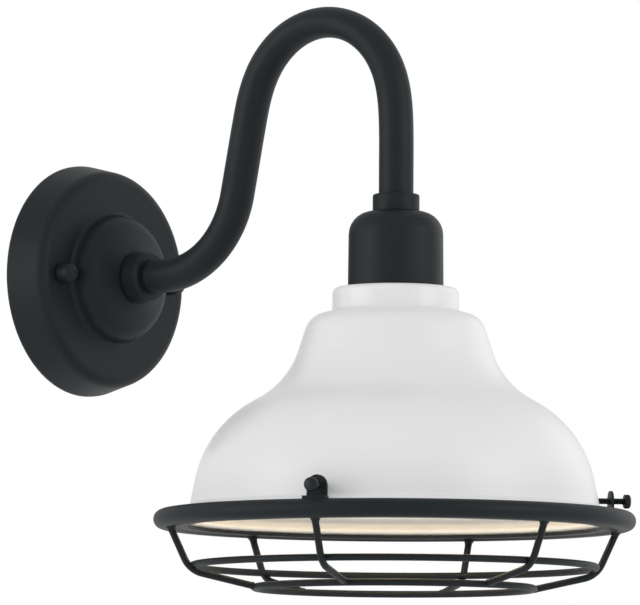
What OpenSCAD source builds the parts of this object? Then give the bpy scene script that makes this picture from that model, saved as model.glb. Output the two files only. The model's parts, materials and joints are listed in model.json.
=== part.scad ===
// Outdoor gooseneck wall sconce: round backplate, bent tube arm, spun metal shade
// and a wire guard held on the shade's rim by three thumb screws.
// The wall is the plane y = 0 and the lamp reaches out along -Y, with +Z up.
// The origin is the centre of the backplate on the wall.

/* [Backplate] */
// Diameter where the plate meets the wall
plate_d = 127; // [118:1:150]
// Diameter of the front face, measured to the sharp corner before rounding
plate_face_d = 117; // [112:1:124]
// Depth from the wall to the flat front face
plate_depth = 22.5; // [20:0.5:30]
// Straight band at the wall before the sides start to slope
plate_band = 1.6; // [1:0.2:3]
// Wall thickness of the pressed plate
plate_wall = 1.6; // [1.2:0.1:2]
// Rounding of the front edge
plate_edge_r = 6; // [3:0.5:8]
// Diameter of the raised boss at its foot
boss_d = 71; // [64:1:76]
// Height of the boss above the flat face
boss_h = 16; // [12:0.5:20]
// Diameter of the boss where its sloping top meets its side
boss_top_d = 66; // [58:1:70]
// How much lower the edge of the boss's top lies than its middle
boss_fall = 5; // [2:0.5:7]
// Rounding of the boss's shoulder
boss_round = 10; // [5:0.5:11]
// Diameter of the flat seat in the middle of the boss
boss_seat_d = 30; // [29:1:36]

/* [Wall mounting] */
// Distance between the two studs, and between the two slots for the wall box
stud_spacing = 88.9; // [86:0.1:92]
// Diameter of the mounting studs
stud_d = 4.1; // [3.5:0.1:5]
// Length of thread inside each cap nut
stud_grip = 7; // [5:0.5:8]
// Diameter of the cap nuts
cap_nut_d = 11; // [9:0.5:12]
// Length of the cap nuts
cap_nut_h = 10.5; // [9.5:0.5:13]
// Thickness of the two mounting straps
strap_t = 1.5; // [1.2:0.1:2]
// Width of the straps
strap_w = 18; // [16:1:22]
// Metal between each slot and the end of its strap
strap_edge = 2.55; // [2:0.05:5]
// How far the ends of the stud strap stand forward of its middle
strap_jog = 3.5; // [3:0.5:6]
// Length of the slots for the wall box's screws, end to end
slot_len = 14; // [10:1:15]
// Width of those slots
slot_w = 5; // [4.2:0.1:6]
// Outer diameter of the hollow rivet that joins the straps
rivet_d = 11; // [10:0.5:13]
// Bore of that rivet, where the supply wires pass
rivet_bore = 8; // [6:0.5:8.5]
// Diameter of the ground screw's thread
ground_d = 4.8; // [4:0.1:5]
// Distance of the ground screw below the middle
ground_drop = 23; // [21:1:28]

/* [Arm] */
// Distance from the wall to the lamp's axis
reach = 220; // [212:1:240]
// Outer diameter of the arm tube
tube_d = 18.4; // [16:0.1:19.5]
// Wall thickness of the arm tube
tube_wall = 1.5; // [1:0.1:2]
// Radius of the bend near the wall, to the tube's centre
lower_bend_r = 52; // [46:1:54]
// Lean of the riser away from the wall, in degrees
lean = 12; // [8:1:14]
// Length of the straight riser between the bends
riser = 49; // [40:1:54]
// Straight length of tube between its seat and the lower bend
foot_run = 17.55; // [10:0.05:24]
// Straight drop from the arch to the tube's end
drop = 50.6; // [44:0.1:60]
// Diameter of the collar that seats the tube on the boss
neck_d = 27.6; // [25:0.1:28.6]
// Length of that collar
neck_h = 11; // [7:0.5:14]
// Diameter of the collar at the lamp end
collar_d = 24.8; // [24:0.1:27]
// Height of the collar at the lamp end
collar_h = 9.2; // [8:0.1:12]
// Thickness of the floor in both collars
collar_floor = 3; // [2.5:0.1:4]
// Outer diameter of the threaded nipples
nipple_d = 9.6; // [9:0.1:10.5]
// Bore of the threaded nipples
nipple_bore = 6.6; // [6:0.1:7]
// Distance across the flats of the nipple nuts
nut_af = 14.3; // [13:0.1:16]
// Thickness of the nipple nuts
nut_t = 4; // [3:0.5:5]
// Diameter of the insulated leads inside the arm
lead_d = 2.4; // [2:0.1:2.6]

/* [Lamp holder] */
// Outer diameter of the cup that covers the lamp holder
cup_d = 50.6; // [49:0.1:54]
// Height of that cup
cup_h = 40.5; // [38:0.5:48]
// Wall thickness of that cup
cup_wall = 1.5; // [1:0.1:1.8]
// Rounding of the cup's shoulder
cup_round = 12.3; // [8:0.1:12.5]
// How much the cup narrows towards its shoulder, on the diameter
cup_draft = 0.8; // [0:0.1:1.5]
// Radial room between the ceramic lamp holder and the shade ring
holder_room = 2.5; // [1:0.1:3.5]
// How far the holder's lower part stands out from its upper part
holder_ledge = 2; // [1:0.5:3]
// Height of the holder
holder_h = 46; // [44:0.5:50]
// Inner diameter of the screw shell
shell_bore = 27; // [26.6:0.1:27.6]
// Depth of the screw shell
shell_h = 25; // [22:0.5:26]
// Thickness of the bridge that carries the holder
bridge_t = 1.6; // [1.2:0.1:2]
// Diameter of the bridge's two screws
bridge_screw_d = 3; // [2.5:0.1:3.5]

/* [Shade] */
// Sheet thickness of the spun shade
shade_t = 1; // [0.8:0.1:1.2]
// Radial room between the neck and the shade ring's flange
neck_room = 2.9; // [1.5:0.1:4.5]
// Height of the neck
shade_neck_h = 12.6; // [10:0.1:15]
// Diameter at the shoulder's corner, before rounding
shoulder_d = 90.8; // [86:0.2:96]
// How far the shoulder falls from the neck to that corner
shoulder_fall = 2.6; // [1:0.1:4]
// Rounding of the shoulder
shoulder_round = 12; // [6:0.5:13]
// Diameter at the waist's corner, where the flare starts
waist_d = 113.5; // [108:0.5:118]
// Depth of that corner below the shade's top
waist_z = 50.5; // [47:0.5:54]
// Rounding of the waist
waist_round = 45; // [30:1:47]
// How far the dome's lower wall leans out between the dome's corner and the fold
wall_lean = 8.3; // [6:0.1:11]
// Depth of that corner below the shade's top
dome_z = 74.2; // [70:0.2:78]
// Rounding of the dome
dome_round = 60; // [45:1:62]
// Width of the brim outside the fold
brim_w = 6.8; // [5.6:0.1:9]
// Depth of that fold below the shade's top
fold_z = 115.4; // [112:0.2:120]
// Fall of the brim from the fold to its edge
brim_fall = 1.8; // [1:0.1:3]
// Height of the curled bead under the brim
bead_h = 7.8; // [6:0.1:9]
// Rounding of the bead
bead_round = 2.6; // [2.2:0.1:3]

/* [Shade ring] */
// Width of the ring's flange under the shade's top, outside its sleeve
ring_flange_w = 5.8; // [4:0.1:7]
// Thickness of that flange
ring_flange_t = 3; // [2:0.5:5]
// Length of the ring's threaded sleeve inside the cup
ring_sleeve_h = 9; // [7:0.5:12]
// Wall thickness of that sleeve
ring_wall = 2.2; // [1.6:0.1:3]

/* [Bulb] */
// Diameter of the bulb
bulb_d = 60; // [50:1:61]
// Length of the bulb's glass below the holder
bulb_h = 81; // [74:1:84]
// Wall thickness of the glass
glass_t = 1; // [0.8:0.1:1.5]

/* [Guard] */
// Outer diameter of the rim, which sets the brim that fits inside it
guard_d = 254; // [230:1:280]
// Width of the rim, from its mouth to its outer edge
rim_w = 11.6; // [10:0.1:14]
// Height of the rim
rim_h = 9.8; // [8.8:0.1:11]
// Sheet thickness of the rolled rim
rim_t = 1.5; // [1.2:0.1:1.6]
// How far the flange that carries the shade's bead stands above the rim's lowest edge
flange_rise = 1; // [0.5:0.1:2]
// Diameter of the wire
wire_d = 3.7; // [3:0.1:4]
// Distance from the bars' tops in to the middle wire ring, to the wires' centres
mid_inset = 13; // [10:0.1:16]
// Depth of the middle ring's centre below the rim
mid_ring_z = 19.4; // [17:0.1:22]
// Distance from the middle wire ring in to the bottom one, to the wires' centres
low_inset = 32.6; // [28:0.1:38]
// Depth of the bottom ring's centre below the rim
low_ring_z = 30.7; // [28:0.1:34]
// Distance from the rim's outer edge in to the bars' tops
bar_inset = 7.9; // [7:0.1:9]
// Depth below the middle ring at which the bars turn inwards
knee_drop = 3.3; // [2.8:0.1:6]
// Inner bend radius of the bars
bar_bend = 4.5; // [3:0.5:6]
// Number of bars, twice the number of tabs
bars = 6; // [6]
// Turn of the guard about the lamp's axis, in degrees
guard_angle = -11; // [-30:1:30]
// Width of the tabs
tab_w = 11; // [9:0.5:12]
// Thickness of the tabs
tab_t = 1.5; // [1.2:0.1:2]
// Width of the tab's foot on the rim
foot_w = 12; // [11:0.5:16]
// Length of the foot, from the tab's inner face
foot_len = 6.8; // [5:0.1:7]
// Height of the screw's axis above the rim
screw_z = 7; // [6.5:0.1:9]
// Diameter of the thumb screws' thread
screw_d = 3.5; // [3:0.1:4]
// Length of thread between the tab and the head
screw_run = 6.3; // [6:0.1:8]
// Diameter of the thumb screws' heads
head_d = 7.4; // [7:0.1:9]
// Thickness of those heads
head_h = 3.4; // [2.5:0.1:4]

/* [Clearances] */
// Gap at rest between pieces of different bodies that lean on each other
rest_gap = 0.3; // [0.2:0.05:0.4]
// Radial clearance of a screw in the hole that it turns in
thread_gap = 0.05; // [0.02:0.01:0.1]
// Clearance between the two straps, and of the stud strap on its rivet
swivel_gap = 0.1; // [0.05:0.01:0.15]
// Radial clearance of a stud in the backplate's hole
stud_gap = 0.45; // [0.2:0.05:0.6]
// Radial clearance of the ring's sleeve in the cup
sleeve_gap = 0.1; // [0.05:0.05:0.2]
// Radial clearance of the bulb's base in the screw shell
base_gap = 0.4; // [0.3:0.05:0.6]
// Clearance between the brim's edge and what stands outside it
brim_gap = 0.7; // [0.6:0.1:1]

/* [Hidden] */
$fn = 96;

// Longest chord and widest step, in degrees, of the arcs in a profile.
arc_chord = 3;
arc_step = 15;
// Overshoot of a cut past the face that it opens.
over = 1;
// Lap of a rod over the bend beside it, and how much thinner the bend is.
lap = 0.25;
hair = 0.1;

black = "#2d3032";
zinc = "#b9bcbe";

// Diameters that follow from what a piece fits into.
strap_len = stud_spacing + slot_len + 2 * strap_edge;
cup_bore = cup_d - 2 * cup_wall;
sleeve_d = cup_bore - 2 * sleeve_gap;
ring_bore = sleeve_d - 2 * ring_wall;
ring_flange_d = sleeve_d + 2 * ring_flange_w;
holder_d = ring_bore - 2 * holder_room;
holder_top_d = holder_d - 2 * holder_ledge;
base_d = shell_bore - 2 * base_gap;
shade_neck_d = ring_flange_d + 2 * (neck_room + shade_t);
brim_d = guard_d - 2 * (rim_w + brim_gap);
fold_d = brim_d - 2 * brim_w;
dome_d = fold_d - 2 * wall_lean;
bar_top_d = guard_d - 2 * bar_inset;
mid_ring_d = bar_top_d - 2 * mid_inset;
low_ring_d = mid_ring_d - 2 * low_inset;

// Levels along the arm, out from the wall.
boss_face = plate_depth + boss_h;
tube_seat = boss_face + collar_floor;
foot_bend = tube_seat + foot_run;
arch_r = (reach - foot_bend - lower_bend_r * cos(lean) - riser * sin(lean)) / (1 + cos(lean));
bend_centre = [foot_bend, lower_bend_r];
riser_foot = bend_centre + lower_bend_r * [cos(-lean), sin(-lean)];
riser_top = riser_foot + riser * [sin(lean), cos(lean)];
arch_centre = riser_top + arch_r * [cos(lean), -sin(lean)];
tube_end = arch_centre.y - drop;

// Levels of the lamp head. The cup's nut, the bridge's nut and the bridge share the nipple.
nut_space = 1.6;
cup_top = tube_end - collar_floor;
shade_top = cup_top - cup_h;
cup_nut_top = cup_top - cup_wall;
holder_top = cup_top - cup_wall - 2 * nut_t - nut_space - bridge_t;
holder_mouth = holder_top - holder_h;
bridge_top = holder_top + bridge_t;
shell_t = 0.6;
shell_top = holder_mouth + shell_h + 1;
contact_z = shell_top - 0.5;
base_top = contact_z - rest_gap;
glass_end = holder_mouth - bulb_h;

// Levels of the guard.
brim_edge = shade_top - fold_z - brim_fall;
bead_end = brim_edge - bead_h;
hem_top = bead_end - rest_gap;
flange_low = hem_top - rim_t;
rim_low = flange_low - flange_rise;
rim_top = rim_low + rim_h;
rim_mouth_r = guard_d / 2 - rim_w;
flange_r = brim_d / 2 - 2 * bead_round - 0.5;
tab_r = rim_mouth_r;
mid_ring = [mid_ring_d / 2, rim_low - mid_ring_z];
low_ring = [low_ring_d / 2, rim_low - low_ring_z];
screw_level = rim_top + screw_z;
screw_tip_r = dome_r(screw_level - screw_d / 2) + rest_gap;

// Radius of the dome's lower wall at height z.
function dome_r(z) = dome_d / 2
    + (fold_d - dome_d) / 2 * (shade_top - dome_z - z) / (fold_z - dome_z);

// Profiles: a path is a list of [x, y, r], with r the rounding of that corner.
function xy(p) = [p.x, p.y];
function unit(v) = v / norm(v);
function right_of(v) = [v.y, -v.x];
function reversed(p) = [for (i = [len(p) - 1:-1:0]) p[i]];
function turn(a, b, c) = let (u = unit(b - a), v = unit(c - b)) atan2(cross(u, v), u * v);
function is_end(p, i) = i == 0 || i == len(p) - 1;

// Length that each corner's rounding takes from the two edges beside it.
function tangents(p) = [for (i = [0:len(p) - 1]) is_end(p, i) ? 0
    : p[i][2] * abs(tan(turn(xy(p[i - 1]), xy(p[i]), xy(p[i + 1])) / 2))];

// The same path, with each rounding held to what its two edges can take.
function eased(p) = let (t = tangents(p)) [for (i = [0:len(p) - 1]) is_end(p, i) ? p[i]
    : let (a = norm(xy(p[i]) - xy(p[i - 1])), b = norm(xy(p[i + 1]) - xy(p[i])),
        k = min(1, 0.999 * a / max(t[i - 1] + t[i], 0.001), 0.999 * b / max(t[i] + t[i + 1], 0.001)))
    [p[i].x, p[i].y, p[i][2] * k]];

// Points of the arc that rounds corner b with radius r.
function bend(a, b, c, r) = r <= 0.01 ? [b]
    : let (w = turn(a, b, c), u = unit(b - a), s = b - u * abs(r * tan(w / 2)),
        m = s - sign(w) * r * right_of(u), g = atan2(s.y - m.y, s.x - m.x),
        n = max(ceil(abs(w) / arc_step), ceil(abs(w) * PI / 180 * r / arc_chord)))
    [for (i = [0:n]) m + r * [cos(g + w * i / n), sin(g + w * i / n)]];

function rounded(p) = [for (i = [0:len(p) - 1])
    each is_end(p, i) ? [xy(p[i])] : bend(xy(p[i - 1]), xy(p[i]), xy(p[i + 1]), p[i][2])];

// The path moved by t to its right-hand side, with its arcs kept concentric.
function shifted(p, t) = [for (i = [0:len(p) - 1])
    let (a = i == 0 ? right_of(unit(xy(p[1]) - xy(p[0]))) : right_of(unit(xy(p[i]) - xy(p[i - 1]))),
        b = i == len(p) - 1 ? a : right_of(unit(xy(p[i + 1]) - xy(p[i]))),
        q = xy(p[i]) + (a + b) * t / (1 + a * b))
    [q.x, q.y, p[i][2] <= 0 ? 0 : max(0, p[i][2] + sign(cross(a, b)) * t)]];

// Outline of a sheet of thickness t that lies to the right of the path.
function sheet(p, t) = let (q = eased(p)) concat(rounded(q), reversed(rounded(shifted(q, t))));

// Placing: along the arm's plane, out from the wall, about the lamp's axis.
module arm_plane() rotate([90, 0, -90]) children();
module outward(d = 0) translate([0, -d, 0]) rotate([90, 0, 0]) children();
module lamp_axis(z = 0) translate([0, -reach, z]) children();
module spoke(k, n) lamp_axis() rotate([0, 0, guard_angle + 360 / bars * (1 + k * bars / n) - 210])
    children();

// A straight rod and a bent one in the XY plane. A rod laps the bend beside it a little,
// at its start or its end, and the bend is a hair thinner, so that the two fuse cleanly.
module rod(a, b, d, at_start = 0, at_end = 0) translate([a.x, a.y, 0])
    rotate([0, 0, atan2(b.y - a.y, b.x - a.x)]) translate([-lap * at_start, 0, 0]) rotate([0, 90, 0])
        cylinder(h = norm(b - a) + lap * (at_start + at_end), d = d);
module elbow(centre, r, from, sweep, d) translate([centre.x, centre.y, 0]) rotate([0, 0, from])
    rotate_extrude(angle = sweep) translate([r, 0]) circle(d = d - hair);

module tube(d, bore, h) difference() {
    cylinder(h = h, d = d);
    translate([0, 0, -over]) cylinder(h = h + 2 * over, d = bore);
}

module hex(af, h) cylinder(h = h, d = af / cos(30), $fn = 6);

module hex_nut() difference() {
    hex(nut_af, nut_t);
    translate([0, 0, -over]) cylinder(h = nut_t + 2 * over, d = nipple_d);
}

// A rod that follows the arm from its seat in the neck collar to the lamp end.
module arm_rod(d, from, to) {
    rod([from, 0], [foot_bend, 0], d, 0, 1);
    elbow(bend_centre, lower_bend_r, -90, 90 - lean, d);
    rod(riser_foot, riser_top, d, 1, 1);
    elbow(arch_centre, arch_r, 0, 180 - lean, d);
    rod([reach, arch_centre.y], [reach, to], d, 1, 0);
}

// Pressed backplate with its boss, open at the back.
module backplate() color(black) difference() {
    outward() rotate_extrude() polygon(sheet([
        [nipple_d / 2 + stud_gap, boss_face, 0],
        [boss_seat_d / 2, boss_face, 4],
        [boss_top_d / 2, boss_face - boss_fall, boss_round],
        [boss_d / 2, plate_depth, 3],
        [plate_face_d / 2, plate_depth, plate_edge_r],
        [plate_d / 2, plate_band, 0],
        [plate_d / 2, 0, 0]], plate_wall));
    for (s = [-1, 1]) translate([s * stud_spacing / 2, 0, 0]) outward(plate_depth - plate_wall - over)
        cylinder(h = plate_wall + 2 * over, d = stud_d + 2 * stud_gap);
}

// Upright strap that screws to the wall box through its two slots.
module box_strap() color(zinc) outward() difference() {
    translate([-strap_w / 2, -strap_len / 2, 0]) cube([strap_w, strap_len, strap_t]);
    for (s = [-1, 1]) translate([0, s * stud_spacing / 2, -over]) {
        for (e = [-1, 1]) translate([0, e * (slot_len - slot_w) / 2, 0])
            cylinder(h = strap_t + 2 * over, d = slot_w);
        translate([-slot_w / 2, -(slot_len - slot_w) / 2, 0])
            cube([slot_w, slot_len - slot_w, strap_t + 2 * over]);
    }
    translate([0, 0, -over]) cylinder(h = strap_t + 2 * over, d = rivet_d);
    translate([0, -ground_drop, -over]) cylinder(h = strap_t + 2 * over, d = ground_d);
    cylinder(h = rivet_flare, d1 = rivet_d + 2 * rivet_flare, d2 = rivet_d);
}

// Level strap across it: its ends stand forward and carry the studs.
module stud_strap() color(zinc) difference() {
    translate([0, 0, -strap_w / 2]) linear_extrude(strap_w) polygon(strap_outline());
    outward() cylinder(h = 3 * strap_t, d = rivet_d + swivel_gap);
    for (s = [-1, 1]) translate([s * stud_spacing / 2, 0, 0]) outward(strap_t)
        cylinder(h = strap_end, d = stud_d);
}

// Bends of the level strap, from its middle to one end.
jog_in = 26;
jog_out = 31;
rivet_flare = 0.6;
strap_back = strap_t + swivel_gap;
strap_end = strap_back + strap_jog + strap_t;
function strap_outline() = let (jog = strap_back + strap_jog, back = [
        [strap_len / 2, jog], [jog_out, jog], [jog_in, strap_back],
        [-jog_in, strap_back], [-jog_out, jog], [-strap_len / 2, jog]])
    concat([for (p = back) [p.x, -p.y]], [for (p = reversed(back)) [p.x, -p.y - strap_t]]);

// Hollow rivet on which one strap turns against the other.
module strap_rivet() color(zinc) outward() difference() {
    union() {
        cylinder(h = 2 * (strap_t + swivel_gap), d = rivet_d);
        cylinder(h = rivet_flare, d1 = rivet_d + 2 * rivet_flare, d2 = rivet_d);
        translate([0, 0, 2 * (strap_t + swivel_gap)]) cylinder(h = 1, d = rivet_d + 4);
    }
    translate([0, 0, -over]) cylinder(h = 2 * strap_t + 4 * over, d = rivet_bore);
}

// Green ground screw in the upright strap: hexagonal head on a washer face, with a slot.
module ground_screw() color("#2f7d3c") translate([0, 0, -ground_drop]) outward() {
    cylinder(h = strap_t, d = ground_d);
    translate([0, 0, strap_t]) cylinder(h = 0.6, d = 2.2 * ground_d);
    translate([0, 0, strap_t + 0.6]) difference() {
        hex(1.65 * ground_d, 3);
        translate([-ground_d, -0.5, 2]) cube([2 * ground_d, 1, 1 + over]);
    }
}

// Two studs, each with a flat head behind the strap.
module mount_studs() color(zinc) for (s = [-1, 1]) translate([s * stud_spacing / 2, 0, 0]) {
    outward(strap_end - strap_t) cylinder(h = plate_depth + stud_grip - strap_end + strap_t, d = stud_d);
    outward(strap_end - strap_t - stud_head_h) cylinder(h = stud_head_h, d = 1.9 * stud_d);
}
stud_head_h = 1.8;

// Two round cap nuts with domed ends, which clamp the backplate.
module cap_nuts() color(black) for (s = [-1, 1]) translate([s * stud_spacing / 2, 0, 0])
    outward(plate_depth) difference() {
        rotate_extrude() polygon(rounded(eased([
            [0, 0, 0], [cap_nut_d / 2, 0, 0.6], [cap_nut_d / 2 - 0.6, cap_nut_h, cap_nut_d * 0.42],
            [0, cap_nut_h, 0]])));
        translate([0, 0, -over]) cylinder(h = stud_grip + over, d = stud_d);
    }

// Threaded nipple that ties the arm to the backplate, with its washer and nut.
module arm_nipple() color(zinc) outward(arm_nut_back - 2)
    tube(nipple_d, nipple_bore, tube_seat - arm_nut_back + 2);
washer_t = 1;
arm_washer_back = boss_face - plate_wall - washer_t;
arm_nut_back = arm_washer_back - nut_t;
module arm_washer() color(zinc) outward(arm_washer_back) tube(nut_af + 5, nipple_d, washer_t);
module arm_nut() color(zinc) outward(arm_nut_back) hex_nut();

// A turned collar: a floor with a threaded hole, and a socket for the tube's end.
module collar(d, h, r) difference() {
    rotate_extrude() polygon(rounded([
        [0, 0, 0], [d / 2, 0, 0.4], [d / 2, h, r], [0, h, 0]]));
    translate([0, 0, collar_floor]) cylinder(h = h, d = tube_d);
    translate([0, 0, -over]) cylinder(h = h, d = nipple_d);
}
module neck_collar() color(black) outward(boss_face) collar(neck_d, neck_h, 2);
module end_collar() color(black) lamp_axis(cup_top) collar(collar_d, collar_h, 1.2);

// Bent tube arm.
module gooseneck() color(black) arm_plane() difference() {
    arm_rod(tube_d, tube_seat, tube_end);
    arm_rod(tube_d - 2 * tube_wall, tube_seat, tube_end);
}

// Drawn cup over the lamp holder, open below.
module socket_cup() color(black) lamp_axis() rotate_extrude() polygon(sheet([
    [nipple_d / 2 + stud_gap, cup_top, 0],
    [(cup_d - cup_draft) / 2, cup_top, cup_round],
    [cup_d / 2, shade_top, 0]], cup_wall));

// Nipple from the end collar down to the bridge, with its two nuts.
module head_nipple() color(zinc) lamp_axis(holder_top) tube(nipple_d, nipple_bore, tube_end - holder_top);
module head_nuts() color(zinc) lamp_axis() for (z = [cup_nut_top - nut_t, bridge_top])
    translate([0, 0, z]) hex_nut();

// Steel bridge across the top of the lamp holder.
module holder_bridge() color(zinc) lamp_axis(holder_top) difference() {
    translate([-bridge_len / 2, -bridge_w / 2, 0]) cube([bridge_len, bridge_w, bridge_t]);
    translate([0, 0, -over]) cylinder(h = bridge_t + 2 * over, d = nipple_d);
    for (s = [-1, 1]) translate([s * bridge_screw_x, 0, -over])
        cylinder(h = bridge_t + 2 * over, d = bridge_screw_d);
}
bridge_w = 15;
bridge_len = holder_top_d - 2;
bridge_screw_x = bridge_len / 2 - 4;
bridge_screw_len = 6;

module bridge_screws() color(zinc) lamp_axis(holder_top) for (s = [-1, 1])
    translate([s * bridge_screw_x, 0, 0]) {
        translate([0, 0, -bridge_screw_len]) cylinder(h = bridge_screw_len + bridge_t, d = bridge_screw_d);
        translate([0, 0, bridge_t]) difference() {
            cylinder(h = 1.6, d = 1.9 * bridge_screw_d);
            translate([-bridge_screw_d, -0.4, 0.8]) cube([2 * bridge_screw_d, 0.8, 0.8 + over]);
        }
    }

// Ceramic lamp holder: a stepped body with the shell's bore.
module lamp_holder() color("#ece7da") lamp_axis() difference() {
    rotate_extrude() polygon(rounded([
        [0, holder_top, 0],
        [holder_top_d / 2, holder_top, 1.5],
        [holder_top_d / 2, holder_top - holder_step, 1],
        [holder_d / 2, holder_top - holder_step, 1.5],
        [holder_d / 2, holder_mouth, 2],
        [0, holder_mouth, 0]]));
    translate([0, 0, holder_mouth - over]) cylinder(h = shell_top - holder_mouth + over, d = shell_bore + 2 * shell_t);
    for (s = [-1, 1]) translate([s * bridge_screw_x, 0, holder_top - bridge_screw_len])
        cylinder(h = bridge_screw_len + over, d = bridge_screw_d);
}
holder_step = 14;

// Rolled screw shell and the spring contact above it.
module screw_shell() color("#c9a456") lamp_axis(holder_mouth + 1) tube(shell_bore + 2 * shell_t, shell_bore, shell_h);
module centre_contact() color("#c9a456") lamp_axis(contact_z) cylinder(h = shell_top - contact_z, d = 11);

// Two insulated leads, side by side from the lamp holder to the backplate.
module lead(side) arm_plane() translate([0, 0, side * (lead_d / 2 + 0.05)])
    arm_rod(lead_d, lead_end, holder_top);
lead_end = 9;
module lead_live() color("#1c1c1c") lead(1);
module lead_neutral() color("#e8e8e4") lead(-1);

// Threaded ring that clamps the shade's top against the cup's rim.
module shade_ring() color("#33302c") lamp_axis() difference() {
    rotate_extrude() polygon(rounded([
        [0, shade_top + ring_sleeve_h, 0],
        [sleeve_d / 2, shade_top + ring_sleeve_h, 0.6],
        [sleeve_d / 2, shade_top - shade_t, 0],
        [ring_flange_d / 2, shade_top - shade_t, 0.4],
        [ring_flange_d / 2, shade_top - shade_t - ring_flange_t, 1],
        [0, shade_top - shade_t - ring_flange_t, 0]]));
    translate([0, 0, shade_top - shade_t - ring_flange_t - over])
        cylinder(h = ring_flange_t + shade_t + ring_sleeve_h + 2 * over, d = ring_bore);
}

// Spun shade: neck, rounded shoulder, waist, dome, brim and a curled bead at its edge.
module shade() color("#ebebe9") lamp_axis(shade_top) rotate_extrude() polygon(sheet([
    [cup_bore / 2 + sleeve_gap, 0, 0],
    [shade_neck_d / 2, 0, 3.2],
    [shade_neck_d / 2, -shade_neck_h, 2],
    [shoulder_d / 2, -shade_neck_h - shoulder_fall, shoulder_round],
    [waist_d / 2, -waist_z, waist_round],
    [dome_d / 2, -dome_z, dome_round],
    [fold_d / 2, -fold_z, 1.5],
    [brim_d / 2, -fold_z - brim_fall, bead_round],
    [brim_d / 2, -fold_z - brim_fall - bead_h, bead_round],
    [brim_d / 2 - 2 * bead_round - 0.1, -fold_z - brim_fall - bead_h, bead_round],
    [brim_d / 2 - 2 * bead_round - 0.1, -fold_z - brim_fall - bead_h + bead_round + 0.4, 0]], shade_t));

// Bulb: frosted glass, screw base, black insulator and the contact at its tip.
module bulb_glass() color("#fff3d6") lamp_axis() rotate_extrude() polygon(sheet([
    [base_d / 2 - base_t, holder_mouth + 6, 0],
    [base_d / 2 - base_t, holder_mouth - 9, 24],
    [bulb_d / 2, holder_mouth - 38, 22],
    [bulb_d / 2, glass_end, bulb_d / 2],
    [0, glass_end, 0]], glass_t));
insulator_h = 2.6;
tip_h = 0.9;
base_t = 0.6;
module bulb_base() color("#b8bcc0") lamp_axis() rotate_extrude() polygon(sheet([
    [8, base_top - tip_h - insulator_h, 0],
    [base_d / 2, base_top - tip_h - insulator_h, 1.2],
    [base_d / 2, holder_mouth, 0]], base_t));
module bulb_insulator() color("#15161a") lamp_axis(base_top - tip_h - insulator_h)
    cylinder(h = insulator_h, d1 = base_d - 3, d2 = 11);
module bulb_contact() color("#c8ccd0") lamp_axis(base_top - tip_h) cylinder(h = tip_h, d1 = 9, d2 = 7);

// Rolled rim of the guard: an outer bulge, open inwards, with a flange under the shade's bead.
module guard_rim() color(black) lamp_axis() rotate_extrude() polygon(sheet([
    [rim_mouth_r, rim_top, 0],
    [guard_d / 2, rim_top, rim_h / 2],
    [guard_d / 2, rim_low, rim_h / 2],
    [rim_mouth_r + 0.4 + 1.6 * flange_rise, rim_low, 1],
    [rim_mouth_r + 0.4, flange_low, 1],
    [flange_r, flange_low, 0]], rim_t));

// Upright tab with a rounded top and a threaded hole, on a foot that lies on the rim.
module guard_tab(k) color(black) spoke(k, bars / 2) difference() {
    union() {
        translate([tab_r, -tab_w / 2, rim_top]) cube([tab_t, tab_w, screw_z]);
        translate([tab_r, 0, screw_level]) rotate([0, 90, 0]) cylinder(h = tab_t, d = tab_w);
        translate([tab_r, -foot_w / 2, rim_top]) cube([foot_len, foot_w, tab_t]);
    }
    translate([tab_r - over, 0, screw_level]) rotate([0, 90, 0])
        cylinder(h = tab_t + 2 * over, d = screw_d + 2 * thread_gap);
}

// Thumb screw: its tip presses on the dome's wall just above the brim.
module thumb_screw(k) color(black) spoke(k, bars / 2) translate([0, 0, screw_level]) {
    translate([screw_tip_r, 0, 0]) rotate([0, 90, 0])
        cylinder(h = tab_r + tab_t + screw_run + over - screw_tip_r, d = screw_d);
    translate([tab_r + tab_t + screw_run, 0, 0]) rotate([0, 90, 0]) rotate_extrude() polygon(rounded([
        [0, 0, 0], [head_d / 2, 0, 0.3], [head_d / 2, head_h, 0.8], [0, head_h, 0]]));
}

// A closed wire ring at [radius, height].
module wire_ring(at) lamp_axis(at.y) rotate_extrude() translate([at.x, 0]) circle(d = wire_d);
module guard_mid_ring() color(black) wire_ring(mid_ring);
module guard_low_ring() color(black) wire_ring(low_ring);

// A bar leaves the rim, leans in to touch the middle ring from outside, turns at its knee
// and ends against the bottom ring's outer side.
bar_top = [bar_top_d / 2, rim_low];
to_mid = mid_ring - bar_top;
bar_lean = acos(wire_d / norm(to_mid)) - atan2(-to_mid.y, -to_mid.x);
bar_dir = [-sin(bar_lean), -cos(bar_lean)];
knee = bar_top + (mid_ring_z + knee_drop) / cos(bar_lean) * bar_dir;
knee_dir = unit(low_ring - knee);
knee_turn = acos(bar_dir * knee_dir);
knee_r = bar_bend + wire_d / 2;
knee_in = knee - bar_dir * knee_r * tan(knee_turn / 2);
knee_centre = knee_in + knee_r * right_of(bar_dir);
bar_end = low_ring - knee_dir * wire_d * 0.35;

module guard_bar(k) color(black) spoke(k, bars) rotate([90, 0, 0]) difference() {
    union() {
        rod(bar_top - bar_dir * wire_d, knee_in, wire_d, 0, 1);
        elbow(knee_centre, knee_r, -bar_lean - knee_turn, knee_turn, wire_d);
        rod(knee + knee_dir * knee_r * tan(knee_turn / 2), bar_end, wire_d, 1, 0);
    }
    translate([bar_top.x - 2 * wire_d, rim_low, -wire_d]) cube([4 * wire_d, 2 * wire_d, 2 * wire_d]);
    translate([low_ring.x, low_ring.y, -wire_d]) cylinder(h = 2 * wire_d, d = wire_d);
}

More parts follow.
